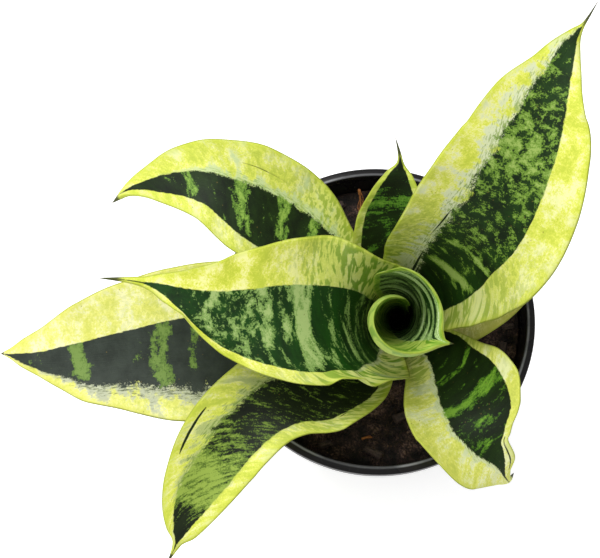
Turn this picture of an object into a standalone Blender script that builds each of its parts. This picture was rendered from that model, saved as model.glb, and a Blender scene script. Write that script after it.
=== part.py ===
"""A potted snake plant: a rosette of nine thick variegated leaves in a black nursery pot.

Metres, +Z up. The origin is the centre of the pot's flat underside, +Y is the back and +X the right.
The leaves are laid out in the crown's own frame: its origin is where the crown meets the soil, and its
Z axis is the axis that the leaves grow round, which leans a little to the front.
"""

from collections import namedtuple
from math import cos, hypot, pi, radians, sin, sqrt

import bmesh
import bpy
import numpy as np
from mathutils import Euler, Matrix, Vector

MM = 0.001

# Pot
RIM_DIAMETER = 0.120
POT_HEIGHT = 0.105
BASE_DIAMETER = 0.084
WALL = 0.0014
FLOOR = 0.0020
LIP_WIDTH = 0.0034
LIP_ROUND = 0.0006
BAND_HEIGHT = 0.006
BAND_STEP = 0.0014
DRAIN_HOLES = 6
DRAIN_DIAMETER = 0.009
DRAIN_CIRCLE = 0.054
ROUND_STEPS = 64

# Soil
SOIL_BELOW_RIM = 0.013
SOIL_MOUND = 0.0025
SOIL_SWELL = 0.0009
SOIL_RIPPLE = 0.0005
SOIL_RINGS = 9
FIT_GAP = 0.0003

# Plant
PLANT_SCALE = 1.0
CROWN_OFFSET = (0.007, 0.0021)
CROWN_LEAN = 13.0
LEAF_THICKNESS = 0.0024
BASE_THICKNESS = 0.0018
THICKENS_OVER = 0.040
INNER_RING = 0.005
BASE_GAP = 0.0008
ROOT_GAP = 0.0005
RINGS_PER_STATION = 2
POINTS_ROUND_LEAF = 20
POINTS_ROUND_ROLLED_LEAF = 32
MARGIN_SHARPNESS = 0.6


def clear_scene():
    for item in list(bpy.data.objects):
        bpy.data.objects.remove(item, do_unlink=True)


def principled(name, colour, roughness, metallic=0.0):
    """A plain finish of one colour."""
    material = bpy.data.materials.new(name)
    material.use_nodes = True
    shader = material.node_tree.nodes["Principled BSDF"]
    shader.inputs["Base Color"].default_value = (*colour, 1.0)
    shader.inputs["Roughness"].default_value = roughness
    shader.inputs["Metallic"].default_value = metallic
    return material


def add_object(name, form, material):
    """An object of its own for the closed mesh in form, facing out."""
    bmesh.ops.recalc_face_normals(form, faces=form.faces)
    mesh = bpy.data.meshes.new(name)
    form.to_mesh(mesh)
    form.free()
    mesh.materials.append(material)
    mesh.shade_smooth()
    mesh.set_sharp_from_angle(angle=radians(40))
    item = bpy.data.objects.new(name, mesh)
    bpy.context.scene.collection.objects.link(item)
    return item


def skin_rings(form, rings, ends):
    """Joins closed rings of points into one body, with a fan to an end point before and after them."""
    loops = [[form.verts.new(point) for point in ring] for ring in rings]
    steps = list(zip(range(len(loops[0])), [*range(1, len(loops[0])), 0]))
    for lower, upper in zip(loops, loops[1:]):
        for here, there in steps:
            form.faces.new((lower[here], lower[there], upper[there]))
            form.faces.new((lower[here], upper[there], upper[here]))
    for loop, end in zip((loops[0], loops[-1]), ends):
        tip = form.verts.new(end)
        for here, there in steps:
            form.faces.new((loop[here], loop[there], tip))
    return form


# ---------------------------------------------------------------- pot


def wall_radius(height, inset=0.0):
    """The outer radius of the tapered wall at this height, less an inset measured across it."""
    top = RIM_DIAMETER / 2 - BAND_STEP
    return BASE_DIAMETER / 2 + (top - BASE_DIAMETER / 2) * height / POT_HEIGHT - inset


def pot_outline():
    """Half of the pot's section, from the middle of its underside round to the middle of its floor."""
    rim = RIM_DIAMETER / 2
    mouth = rim - LIP_WIDTH
    under_band = POT_HEIGHT - BAND_HEIGHT
    lip_foot = POT_HEIGHT - LIP_WIDTH
    return [
        (0, 0),
        (BASE_DIAMETER / 2 - FLOOR, 0),
        (BASE_DIAMETER / 2, FLOOR),
        (wall_radius(under_band), under_band),
        (rim - LIP_ROUND, under_band),
        (rim, under_band + LIP_ROUND),
        (rim, POT_HEIGHT - LIP_ROUND),
        (rim - LIP_ROUND, POT_HEIGHT),
        (mouth + LIP_ROUND, POT_HEIGHT),
        (mouth, POT_HEIGHT - LIP_ROUND),
        (wall_radius(lip_foot, WALL), lip_foot),
        (wall_radius(FLOOR, WALL), FLOOR),
        (0, FLOOR),
    ]


def spun(outline):
    """The solid of revolution of an outline that starts and ends on the axis."""
    form = bmesh.new()
    points = [form.verts.new((radius, 0, height)) for radius, height in outline]
    edges = [form.edges.new(pair) for pair in zip(points, points[1:])]
    bmesh.ops.spin(
        form, geom=points + edges, axis=(0, 0, 1), cent=(0, 0, 0),
        angle=2 * pi, steps=ROUND_STEPS, use_merge=True,
    )
    bmesh.ops.remove_doubles(form, verts=form.verts, dist=0.00001)
    return form


def combine(item, other, operation="DIFFERENCE"):
    """Takes the other's volume out of the item, or adds it, and leaves the other as a hidden guide."""
    other.hide_render = True
    other.display_type = "WIRE"
    boolean = item.modifiers.new(other.name, "BOOLEAN")
    boolean.operation = operation
    boolean.solver = "EXACT"
    boolean.object = other


def make_pot():
    black = principled("black plastic", (0.018, 0.018, 0.020), 0.45)
    pot = add_object("pot", spun(pot_outline()), black)
    holes = bmesh.new()
    for number in range(DRAIN_HOLES):
        turn = 2 * pi * (number + 0.5) / DRAIN_HOLES
        place = Vector((cos(turn), sin(turn), 0)) * DRAIN_CIRCLE / 2
        bmesh.ops.create_cone(
            holes, cap_ends=True, segments=20, radius1=DRAIN_DIAMETER / 2,
            radius2=DRAIN_DIAMETER / 2, depth=4 * FLOOR, matrix=Matrix.Translation(place),
        )
    combine(pot, add_object("drain_hole_cutter", holes, black))


# ---------------------------------------------------------------- crown frame


def soil_top(x, y):
    """Height of the soil's uneven surface: a low mound round the crown and slow swells."""
    from_crown = hypot(x - CROWN_OFFSET[0], y - CROWN_OFFSET[1])
    mound = SOIL_MOUND * cos(min(1, from_crown / (RIM_DIAMETER / 2)) * pi / 2)
    swell = SOIL_SWELL * sin(95 * x + 1.0) * cos(120 * y - 0.6)
    ripple = SOIL_RIPPLE * sin(230 * y + 140 * x)
    return POT_HEIGHT - SOIL_BELOW_RIM + mound + swell + ripple


def crown_matrix():
    """From the crown's frame to the pot's."""
    x, y = CROWN_OFFSET
    place = Matrix.Translation((x, y, POT_HEIGHT - SOIL_BELOW_RIM + SOIL_MOUND))
    return place @ Matrix.Rotation(radians(CROWN_LEAN), 4, "X") @ Matrix.Scale(PLANT_SCALE, 4)


def base_ring(number):
    """Radius of the middle of the leaf bases in this ring, counted from the newest leaf outwards."""
    return INNER_RING + number * (BASE_THICKNESS + BASE_GAP)


# ---------------------------------------------------------------- leaves

# A leaf is a row of stations along its keel, in the crown's frame. Each gives the keel's place in
# millimetres, half of the blade's width across, the roll about the keel that lowers its right side,
# and the curl, the angle that each half bends up through, in degrees. The first station is set by
# the ring of the crown that the leaf grows from and by the side it grows on.
Leaf = namedtuple("Leaf", "name ring side heading base_curl lap stations tip")

LEAVES = [
    Leaf("leaf_centre_rolled", 0, -34, -34, 165, 1.33, [
        (4.4, -3.6, 28, 20, 0, 165),
        (4.0, -5.2, 55, 27, 0, 160),
        (4.8, -7.2, 74, 34, 0, 145),
        (6.4, -8.8, 86, 29.5, 0, 112),
        (7.6, -9.6, 93, 15.5, 0, 58),
        (8.8, -9.8, 97, 4.5, 0, 16),
        (11, -10.6, 100, 1.2, 0, 5),
    ], (14, -11, 101)),
    Leaf("leaf_left", 1, 188, 176, 92, 1.0, [
        (-10.5, -2, 20, 19, 4, 96),
        (-14.5, -3.5, 38, 31, 0, 100),
        (-23, -1.5, 53, 31, -2, 66),
        (-38, -0.5, 62, 29.5, 0, 42),
        (-54, 1, 67, 23.5, 0, 34),
        (-66, 3, 70, 17.5, 0, 30),
        (-76, 6.5, 72, 10, 0, 26),
        (-84, 9.5, 73, 4.4, 0, 20),
        (-91, 10.8, 73, 1.7, 0, 8),
    ], (-106, 12, 74)),
    Leaf("leaf_back_right", 2, 46, 58, 74, 1.0, [
        (10.5, 10.5, 20, 18, -10, 72),
        (14, 15.5, 38, 23, -4, 64),
        (20.5, 22.5, 55, 29, 0, 58),
        (28.5, 31, 72, 30, 0, 44),
        (35, 43.5, 84, 27.5, 0, 34),
        (39.5, 56, 92, 23, 0, 28),
        (43, 70, 97, 17, 0, 25),
        (48.5, 81, 100, 9.4, 0, 22),
        (54, 90, 102, 3.6, 0, 18),
        (57, 94, 103, 1.5, 0, 8),
    ], (62, 102, 104)),
    Leaf("leaf_front_left", 2, 226, 226, 48, 1.0, [
        (-11.5, -12.5, 14, 12, 0, 40),
        (-19, -21, 27, 18, 0, 42),
        (-33, -26, 41, 22, 0, 38),
        (-48, -32, 47, 19, 0, 34),
        (-60, -42, 48, 17.5, 0, 32),
        (-69, -55, 46, 15, 0, 30),
        (-75.5, -68, 42, 11, 0, 28),
        (-79, -78, 40, 5.5, 0, 20),
        (-80.5, -82, 39, 1.7, 0, 8),
    ], (-84, -89, 38)),
    Leaf("leaf_back_small", 3, 94, 92, 38, 1.0, [
        (-0.5, 20, 12, 10.5, 0, 34),
        (-2, 28, 20, 16, 0, 40),
        (-2, 37, 26, 15, 0, 40),
        (-1, 46, 31, 10.5, 0, 36),
        (0, 52, 34, 5.6, 0, 28),
        (0.5, 56.5, 35.5, 1.8, 0, 8),
    ], (-1.5, 66, 38)),
    Leaf("leaf_front_right", 3, 306, 300, 32, 1.0, [
        (13.5, -14, 16, 12.5, 0, 40),
        (18.5, -22, 29, 17, 0, 44),
        (22.5, -31, 39, 20, 0, 46),
        (25.5, -40, 44, 18.5, 0, 48),
        (28, -48, 44.5, 14, 0, 48),
        (33, -54, 42, 9.5, 0, 38),
        (36.5, -58, 38, 4.2, 0, 25),
        (39, -59.5, 35, 1.8, 0, 10),
    ], (42, -57, 31)),
    Leaf("leaf_back_left", 3, 168, 160, 23, 1.0, [
        (-15, 5.5, 9, 7.5, 4, 28),
        (-26, 22, 22, 14, 5, 30),
        (-41, 35, 29, 20.5, 0, 34),
        (-56, 43, 35, 21.5, 0, 34),
        (-70, 48, 36, 17.5, 0, 32),
        (-82, 50, 32, 12.5, 0, 32),
        (-92, 49.5, 28, 7, 0, 40),
        (-100, 47.5, 23, 3, 0, 30),
    ], (-107, 43, 18)),
    Leaf("leaf_outer_left", 4, 200, 186, 44, 1.0, [
        (-20, -9, 6, 11, 6, 34),
        (-31, -13, 15, 16, 4, 28),
        (-46, -12, 25, 26.5, 0, 28),
        (-63, -9.5, 30, 30.5, 0, 26),
        (-82, -10.3, 33, 28.7, 0, 24),
        (-100, -11.3, 34, 24, 0, 22),
        (-115, -13, 34, 18.7, 0, 22),
        (-128, -13.7, 32, 12.2, 0, 20),
        (-138, -13.5, 29, 6.2, 0, 18),
        (-143, -13.5, 27, 2.2, 0, 10),
    ], (-147, -13.5, 25)),
    Leaf("leaf_outer_right", 4, 10, 38, 40, 1.0, [
        (22, 3, 8, 14, -26, 40),
        (28, 6, 18, 16, -20, 36),
        (36, 14, 27, 16, -8, 32),
        (43, 25, 33, 13, 0, 30),
        (49, 35, 36, 8, 0, 28),
        (52, 41, 37, 3.5, 0, 20),
        (54, 45, 38, 1.6, 0, 8),
    ], (57, 51, 39)),
]


def through(places, values, wanted, level=False, start=None):
    """Values at the wanted places on a smooth curve through those given.

    A level curve rises or falls only where its values do, so a width that tapers never bulges.
    A start is the curve's slope at its first place.
    """
    places = np.asarray(places, float)
    values = np.asarray(values, float)
    runs = np.diff(places)
    steps = np.diff(values, axis=0).T / runs
    before, after = steps[..., :-1], steps[..., 1:]
    slopes = (before * runs[1:] + after * runs[:-1]) / (runs[1:] + runs[:-1])
    if level:
        same_way = before * after > 0
        safe = np.where(same_way, before + after, 1.0)
        slopes = np.where(same_way, 2 * before * after / safe, 0.0)
    first = steps[..., :1] if start is None else np.array(start)[:, None]
    slopes = np.concatenate([first, slopes, steps[..., -1:]], axis=-1)
    index = np.clip(np.searchsorted(places, wanted) - 1, 0, len(runs) - 1)
    run = runs[index]
    t = (wanted - places[index]) / run
    start, end = values[index].T, values[index + 1].T
    return (
        (2 * t**3 - 3 * t**2 + 1) * start
        + (t**3 - 2 * t**2 + t) * run * slopes[..., index]
        + (3 * t**2 - 2 * t**3) * end
        + (t**3 - t**2) * run * slopes[..., index + 1]
    ).T


def leaf_section(half_width, curl_left, curl_right, thickness, count):
    """Points round a blade that is thick at its keel and sharp at its margins, each half bent to an arc.

    They are (across, up) pairs, and the first one is the right margin.
    """
    points = []
    for number in range(count):
        turn = 2 * pi * number / count
        even = abs(2 - 4 * number / count) - 1
        across = MARGIN_SHARPNESS * even + (1 - MARGIN_SHARPNESS) * cos(turn)
        rise = sqrt(max(0.0, 1 - across**2)) * thickness / 2
        if turn > pi:
            rise = -rise
        curl = max(radians(curl_right if across > 0 else curl_left), 0.001)
        bend = curl * across
        radius = half_width / curl
        points.append((
            (radius - rise) * sin(bend),
            radius - (radius - rise) * cos(bend),
        ))
    return points


def leaf_rings(leaf):
    """The rings of points round the blade, base first, and its two end points, in the crown's frame."""
    ring = base_ring(leaf.ring)
    side = radians(leaf.side)
    base_half = ring * radians(leaf.base_curl)
    base = (ring * cos(side), ring * sin(side), 0, base_half, leaf.side - leaf.heading, leaf.base_curl)
    rows = [base] + [(*(MM * value for value in row[:4]), *row[4:]) for row in leaf.stations]
    keel = np.array([row[:3] for row in rows] + [tuple(MM * value for value in leaf.tip)])
    shape = np.array([row[3:] for row in rows] + [(0, rows[-1][4], rows[-1][5])])
    places = np.concatenate([[0], np.cumsum(np.linalg.norm(np.diff(keel, axis=0), axis=1))])
    wanted = np.concatenate([
        np.linspace(first, last, RINGS_PER_STATION, endpoint=False)
        for first, last in zip(places, places[1:])
    ])
    crown_axis = (0, 0, 1)
    middle = through(places, keel, wanted, start=crown_axis)
    ahead = through(places, keel, wanted + 0.1 * MM, start=crown_axis) - middle
    shape = through(places, shape, wanted, level=True)
    count = POINTS_ROUND_ROLLED_LEAF if leaf.lap > 1 else POINTS_ROUND_LEAF
    heading = radians(leaf.heading)
    rings = []
    for centre, along, (half_width, roll, curl) in zip(middle, ahead, shape):
        along = Vector(along).normalized()
        right = Vector((sin(heading), -cos(heading), 0))
        right = (right - along * right.dot(along)).normalized()
        right.rotate(Matrix.Rotation(radians(roll), 3, along))
        up = right.cross(along)
        grown = min(1.0, Vector(centre).length / THICKENS_OVER)
        thickness = BASE_THICKNESS + (LEAF_THICKNESS - BASE_THICKNESS) * grown
        thickness = min(thickness, 1.4 * half_width)
        section = leaf_section(half_width, curl, curl * leaf.lap, thickness, count)
        rings.append([Vector(centre) + right * x + up * y for x, y in section])
    return rings, (Vector(middle[0]), Vector(keel[-1]))


def make_leaf(leaf):
    green = principled(leaf.name + " green", (0.12, 0.30, 0.06), 0.4)
    rings, ends = leaf_rings(leaf)
    form = skin_rings(bmesh.new(), rings, ends)
    return add_object(leaf.name, form, green)


def make_leaves(crown):
    for leaf in LEAVES:
        make_leaf(leaf).parent = crown


# ---------------------------------------------------------------- root crown

# Each root is (side, depth, reach, thickness): the side it leaves on in degrees, how deep it goes as a
# share of the soil's depth, how far from the axis it ends as a share of the pot's radius at its base,
# and its radius at the crown in millimetres. The pot bounds the roots, whatever the size of the leaves.
ROOTS = [
    (15, 0.63, 0.71, 2.2),
    (70, 0.72, 0.57, 1.8),
    (128, 0.57, 0.79, 2.4),
    (176, 0.76, 0.62, 1.9),
    (229, 0.65, 0.74, 2.3),
    (281, 0.74, 0.52, 1.7),
    (331, 0.54, 0.81, 2.1),
]
CROWN_PROFILE = [(0.94, 0), (1.0, -1.2), (0.94, -8), (0.70, -17), (0.40, -24)]
CROWN_EDGE = 0.0018
CROWN_END = -0.027
ROOT_STEPS = 7
ROOT_START = 0.009
ROOT_SWAY = 0.0016
ROOT_TAPER = 0.6
WELL_DEPTH = 0.012
WELL_FLARE = 1.6


def crown_radius():
    """The root crown is a little wider than the outermost ring of leaf bases."""
    return base_ring(max(leaf.ring for leaf in LEAVES)) + BASE_THICKNESS / 2 + CROWN_EDGE


def ring_of(radius, height, count=24, lumps=0.0):
    """A level ring of points, a little lumpy."""
    turns = [2 * pi * number / count for number in range(count)]
    radii = [radius * (1 + lumps * sin(3 * turn + 400 * height)) for turn in turns]
    return [Vector((r * cos(turn), r * sin(turn), height)) for r, turn in zip(radii, turns)]


def stub(grow):
    """The short stem under the leaves, in the crown's frame, grown all round by a clearance."""
    wide = crown_radius()
    top = -FIT_GAP
    rings = [
        ring_of(wide * share + grow, top + MM * height, lumps=0.04 * (height < -1.2))
        for share, height in CROWN_PROFILE
    ]
    start = Vector((0, 0, top))
    if grow:
        # The clearance opens upwards through the soil as a flared well.
        mouth = ring_of(wide + WELL_FLARE * WELL_DEPTH, WELL_DEPTH)
        rings = [mouth, ring_of(wide + 2 * grow, top), *rings[1:]]
        start = Vector((0, 0, WELL_DEPTH))
    return skin_rings(bmesh.new(), rings, (start, Vector((0, 0, CROWN_END - 2 * grow))))


def root(form, side, depth, reach, thickness, grow):
    """A tapering root that leaves the stub sideways and turns down."""
    turn = radians(side)
    out = Vector((cos(turn), sin(turn), 0))
    across = Vector((sin(turn), -cos(turn), 0))
    down = Vector((0, 0, -1))
    start = (out + down) * ROOT_START
    outwards = reach * BASE_DIAMETER / 2 / PLANT_SCALE - ROOT_START
    downwards = depth * (POT_HEIGHT - SOIL_BELOW_RIM) / PLANT_SCALE - ROOT_START
    rings = []
    for step in range(ROOT_STEPS):
        t = step / (ROOT_STEPS - 1)
        place = start + out * outwards * sin(t * pi / 2) + down * downwards * t**1.5
        place += across * ROOT_SWAY * sin(5 * t + side)
        slope = out * outwards * cos(t * pi / 2) * pi / 2 + down * downwards * 1.5 * sqrt(t)
        over = slope.normalized().cross(across)
        radius = MM * thickness * (1 - ROOT_TAPER * t) + grow
        rings.append([place + (across * point.x + over * point.y) for point in ring_of(radius, 0, count=8)])
    tip = place + slope.normalized() * (2 * MM + grow)
    return skin_rings(form, rings, (start - out * grow, tip))


def root_system(name, grow, crown, material):
    """The stub and its roots as one body, grown all round by a clearance."""
    body = add_object(name, stub(grow), material)
    body.parent = crown
    roots = bmesh.new()
    for side, depth, reach, thickness in ROOTS:
        root(roots, side, depth, reach, thickness, grow)
    roots = add_object(name + "_roots", roots, material)
    roots.parent = crown
    combine(body, roots, "UNION")
    return body


def make_root_crown(crown):
    pale = principled("pale root", (0.55, 0.40, 0.22), 0.7)
    root_system("root_crown", 0.0, crown, pale)


# ---------------------------------------------------------------- soil


def soil_wall_radius(height):
    """The soil's radius at this height, a gap inside the pot's tapered wall."""
    return wall_radius(height, WALL + 1.2 * FIT_GAP)


def soil_radius():
    """The soil's radius at the level of its top."""
    return soil_wall_radius(POT_HEIGHT - SOIL_BELOW_RIM)


def soil_edge(turn, near):
    """The point where the soil's top meets its side, whose radius goes with the height there."""
    height = soil_top(near * cos(turn), near * sin(turn))
    radius = soil_wall_radius(height)
    return Vector((radius * cos(turn), radius * sin(turn), height))


def make_soil(crown):
    """Potting soil that fills the pot, with an uneven top and the hollow that the roots fill."""
    brown = principled("potting soil", (0.035, 0.022, 0.014), 0.95)
    form = bmesh.new()
    turns = [2 * pi * step / ROUND_STEPS for step in range(ROUND_STEPS)]
    bottom = FLOOR + FIT_GAP
    foot = soil_wall_radius(bottom)
    edge = soil_radius()
    rings = [[Vector((foot * cos(turn), foot * sin(turn), bottom)) for turn in turns]]
    rings.append([soil_edge(turn, edge) for turn in turns])
    for number in range(SOIL_RINGS - 1, 0, -1):
        radius = edge * number / SOIL_RINGS
        spots = [(radius * cos(turn), radius * sin(turn)) for turn in turns]
        rings.append([Vector((x, y, soil_top(x, y))) for x, y in spots])
    skin_rings(form, rings, (Vector((0, 0, bottom)), Vector((0, 0, soil_top(0, 0)))))
    soil = add_object("soil", form, brown)
    hollow = root_system("root_hollow_cutter", ROOT_GAP, crown, brown)
    combine(soil, hollow)


# ---------------------------------------------------------------- what lies on the soil

# Each chip is (side, out, turn) on the soil and (length, width, height): the side of the pot it lies on,
# how far out it lies as a share of the soil's radius, the way it points, and its size in millimetres.
BARK_CHIPS = [
    (-14, 0.90, 80, 10, 5.0, 2.6),
    (-76, 0.68, 25, 6, 4.0, 2.2),
    (-92, 0.91, 150, 8, 3.5, 2.2),
    (-65, 0.91, 60, 7, 3.6, 2.0),
    (-113, 0.92, 20, 6, 3.2, 2.0),
    (12, 0.82, 130, 7, 3.4, 2.2),
    (-1, 0.93, 10, 5, 3.0, 1.8),
    (-37, 0.85, 165, 8, 3.8, 2.4),
    (54, 0.90, 35, 7, 3.6, 2.2),
    (81, 0.91, 100, 6, 3.4, 2.0),
    (108, 0.92, 15, 8, 4.0, 2.4),
    (134, 0.89, 140, 6, 3.2, 2.0),
    (161, 0.89, 70, 7, 3.6, 2.2),
    (-170, 0.91, 95, 6, 3.4, 2.0),
    (-141, 0.92, 40, 8, 3.8, 2.4),
    (34, 0.88, 80, 6, 3.0, 1.8),
    (-95, 0.81, 8, 5, 1.6, 1.2),
]
CHIP_BEVEL = 0.00035

# A stalk of straw: the side of the pot and the share of the soil's radius where its tip hangs, how far
# back it reaches to there and how far it rises.
STRAW_SIDE = 96.5
STRAW_TIP_OUT = 0.964
STRAW_REACH = 0.0085
STRAW_RISE = 0.0065
STRAW_RADIUS = 0.0007
STRAW_STEPS = 7


def make_chip(number, side, out, turn, length, width, height, material):
    """A wedge of bark lying on the soil: its ends are broken off at a slant."""
    x = out * soil_radius() * cos(radians(side))
    y = out * soil_radius() * sin(radians(side))
    form = bmesh.new()
    bmesh.ops.create_cube(form, size=MM)
    for vert in form.verts:
        end = 1 if vert.co.x > 0 else -1
        top = vert.co.z > 0
        vert.co.x *= length * (0.82 if top else 1.0)
        vert.co.y *= width * (0.7 if end > 0 else 1.0) * (0.75 if top else 1.0)
        vert.co.z *= height * (0.7 if end > 0 else 1.0)
    bmesh.ops.bevel(
        form, geom=form.edges[:], affect="EDGES", offset=CHIP_BEVEL, segments=1, profile=0.5, material=-1,
    )
    tilt = Euler((radians(5 * sin(number)), radians(5 * cos(2 * number)), radians(turn)))
    turned = Matrix.Translation((x, y, 0)) @ tilt.to_matrix().to_4x4()
    corners = [turned @ vert.co for vert in form.verts]
    lift = max(soil_top(corner.x, corner.y) - corner.z for corner in corners)
    chip = add_object(f"bark_chip_{number:02d}", form, material)
    chip.location = (x, y, lift + FIT_GAP)
    chip.rotation_euler = tilt


def make_chips():
    bark = principled("bark", (0.10, 0.055, 0.035), 0.85)
    for number, chip in enumerate(BARK_CHIPS, start=1):
        make_chip(number, *chip, bark)


def make_straw():
    """A dry bent stalk that leans from the soil towards the back of the rim."""
    straw = principled("straw", (0.42, 0.27, 0.13), 0.8)
    form = bmesh.new()
    x = STRAW_TIP_OUT * soil_radius() * cos(radians(STRAW_SIDE))
    y = STRAW_TIP_OUT * soil_radius() * sin(radians(STRAW_SIDE)) - STRAW_REACH
    foot = Vector((x, y, soil_top(x, y) + STRAW_RADIUS + FIT_GAP))
    rings = []
    for step in range(STRAW_STEPS):
        t = step / (STRAW_STEPS - 1)
        centre = foot + Vector((0.8 * MM * sin(4 * t), STRAW_REACH * t, STRAW_RISE * t**1.3))
        radius = STRAW_RADIUS * (1 - 0.35 * t)
        rings.append([centre + Vector((point.x, 0, point.y)) for point in ring_of(radius, 0, count=8)])
    ends = (rings[0][0].lerp(rings[0][4], 0.5), centre + Vector((0, 0.0004, 0)))
    add_object("straw", skin_rings(form, rings, ends), straw)


clear_scene()
make_pot()
crown_frame = bpy.data.objects.new("crown_frame", None)
bpy.context.scene.collection.objects.link(crown_frame)
crown_frame.matrix_world = crown_matrix()
make_leaves(crown_frame)
make_root_crown(crown_frame)
make_soil(crown_frame)
make_chips()
make_straw()
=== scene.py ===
"""A potted snake plant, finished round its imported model.

Metres, +Z up. The origin is the centre of the pot's flat underside, +Y is the back and +X the right.
"""

from collections import namedtuple
from math import cos, hypot, pi, radians, sin, sqrt

import bmesh
import bpy
import numpy as np
from mathutils import Euler, Matrix, Vector, noise


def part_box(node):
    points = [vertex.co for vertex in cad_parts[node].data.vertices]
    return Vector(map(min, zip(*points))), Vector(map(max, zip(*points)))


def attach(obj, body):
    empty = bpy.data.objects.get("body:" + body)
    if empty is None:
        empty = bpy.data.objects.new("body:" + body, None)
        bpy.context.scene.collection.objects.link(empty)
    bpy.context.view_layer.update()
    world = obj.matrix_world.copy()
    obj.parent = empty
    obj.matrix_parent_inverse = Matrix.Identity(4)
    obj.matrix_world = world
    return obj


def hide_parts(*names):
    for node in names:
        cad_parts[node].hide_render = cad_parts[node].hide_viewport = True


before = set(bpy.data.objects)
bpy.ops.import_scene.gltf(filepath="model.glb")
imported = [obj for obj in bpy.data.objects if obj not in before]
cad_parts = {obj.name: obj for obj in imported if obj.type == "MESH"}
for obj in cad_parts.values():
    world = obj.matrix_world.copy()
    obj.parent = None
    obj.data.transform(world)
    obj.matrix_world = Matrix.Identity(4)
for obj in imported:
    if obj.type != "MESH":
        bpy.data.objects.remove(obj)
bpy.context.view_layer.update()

# ---- the pot
# A 12 cm nursery pot: injection-moulded black polypropylene, thin walled, with a stiff rolled lip that
# the grower lifts it by, a short band under the lip and six drain holes in the floor. It stands loose,
# and a thin grey line is painted round the lip as a highlight on its rounded inner edge.

MM = 0.001
POT_LOW, POT_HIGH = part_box("pot")
POT_RIM = (POT_HIGH.x - POT_LOW.x) / 2
POT_HEIGHT = POT_HIGH.z
POT_FOOT = 42 * MM
POT_WALL = 1.4 * MM
POT_FLOOR = 2.0 * MM
LIP_WIDTH = 3.4 * MM
LIP_ROUND = 0.45 * MM
BAND_HEIGHT = 6.0 * MM
BAND_STEP = 1.4 * MM
BAND_FLARE = 0.3 * MM
BASE_RECESS = 0.6 * MM
FOOT_RING = 6 * MM
FOOT_ROUND = 1.5 * MM
# Radius of the thin grey line on the lip: a painted highlight on the lip's inner edge.
LIP_HIGHLIGHT_RADIUS = POT_RIM - 0.74 * LIP_WIDTH
DRAIN_HOLES = 6
DRAIN_RADIUS = 4.5 * MM
DRAIN_CIRCLE = 27 * MM


def srgb(colour):
    """Linear RGBA from an sRGB hex colour."""
    channels = [int(colour[start:start + 2], 16) / 255 for start in (0, 2, 4)]
    return (*[c / 12.92 if c <= 0.04045 else ((c + 0.055) / 1.055) ** 2.4 for c in channels], 1.0)


def finish(name):
    """A new node material, its node tree and its Principled shader."""
    material = bpy.data.materials.new(name)
    material.use_nodes = True
    return material, material.node_tree, material.node_tree.nodes["Principled BSDF"]


def add(tree, kind, inputs, out=0, **settings):
    """Adds a shader node with its settings, sets or links its inputs, and gives the output asked for.

    The inputs are a list of the first ones in their order, or a table of them by name or number.
    """
    made = tree.nodes.new("ShaderNode" + kind)
    for name, value in settings.items():
        setattr(made, name, value)
    join(tree, made, inputs if isinstance(inputs, dict) else dict(enumerate(inputs)))
    return made.outputs[out]


def join(tree, node, inputs):
    """Sets a node's inputs, and links those that are given an output."""
    for name, value in inputs.items():
        if isinstance(value, bpy.types.NodeSocket):
            tree.links.new(value, node.inputs[name])
        else:
            node.inputs[name].default_value = value


def add_piece(name, mesh, material, slot, *nodes):
    """Adds a finished piece, which stands for these CAD nodes."""
    mesh.materials.append(material)
    mesh.shade_smooth()
    piece = bpy.data.objects.new(name, mesh)
    bpy.context.scene.collection.objects.link(piece)
    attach(piece, "root")
    if nodes:
        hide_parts(*nodes)


def mesh_of(name, form):
    """The mesh of a bmesh, facing out."""
    bmesh.ops.remove_doubles(form, verts=form.verts, dist=0.000001)
    bmesh.ops.recalc_face_normals(form, faces=form.faces)
    mesh = bpy.data.meshes.new(name)
    form.to_mesh(mesh)
    form.free()
    return mesh


def turned(outline, steps, merged):
    """A shape turned from half of its outline, given as (radius, height), with its doubles merged."""
    form = bmesh.new()
    line = [form.verts.new((radius, 0, height)) for radius, height in outline]
    edges = [form.edges.new(pair) for pair in zip(line, line[1:])]
    bmesh.ops.spin(
        form, geom=line + edges, axis=(0, 0, 1), cent=(0, 0, 0), angle=2 * pi, steps=steps, use_merge=True,
    )
    bmesh.ops.remove_doubles(form, verts=form.verts, dist=merged)
    return form


def pot_wall(height):
    """The outer radius of the tapered wall at this height."""
    return POT_FOOT + (POT_RIM - BAND_STEP - POT_FOOT) * height / POT_HEIGHT


def pot_form():
    """The pot's wall, floor and lip, turned from half of its outline."""
    under_band = POT_HEIGHT - BAND_HEIGHT
    mouth = POT_RIM - LIP_WIDTH
    outline = [
        (0, BASE_RECESS), (POT_FOOT - FOOT_RING + 1 * MM, BASE_RECESS), (POT_FOOT - FOOT_RING, 0),
        (POT_FOOT - FOOT_ROUND, 0), (POT_FOOT, FOOT_ROUND), (pot_wall(under_band), under_band),
        (POT_RIM - BAND_FLARE, under_band), (POT_RIM, under_band + 2.0 * MM),
        (POT_RIM, POT_HEIGHT - 0.6 * MM), (mouth, POT_HEIGHT), (mouth - 0.2 * MM, POT_HEIGHT - 2.2 * MM),
        (pot_wall(POT_HEIGHT - LIP_WIDTH) - POT_WALL, POT_HEIGHT - LIP_WIDTH),
        (pot_wall(POT_FLOOR) - POT_WALL, POT_FLOOR), (0, POT_FLOOR),
    ]
    form = turned(outline, steps=144, merged=0.01 * MM)
    bmesh.ops.recalc_face_normals(form, faces=form.faces)
    corners = [
        edge for edge in form.edges
        if abs(edge.verts[0].co.z - edge.verts[1].co.z) < 0.01 * MM
        and abs(edge.verts[0].co.xy.length - edge.verts[1].co.xy.length) < 0.01 * MM
        and edge.verts[0].co.z > under_band - 1 * MM
    ]
    bmesh.ops.bevel(
        form, geom=corners, affect="EDGES", offset=LIP_ROUND, segments=4, profile=0.5, material=-1,
    )
    return form


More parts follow.
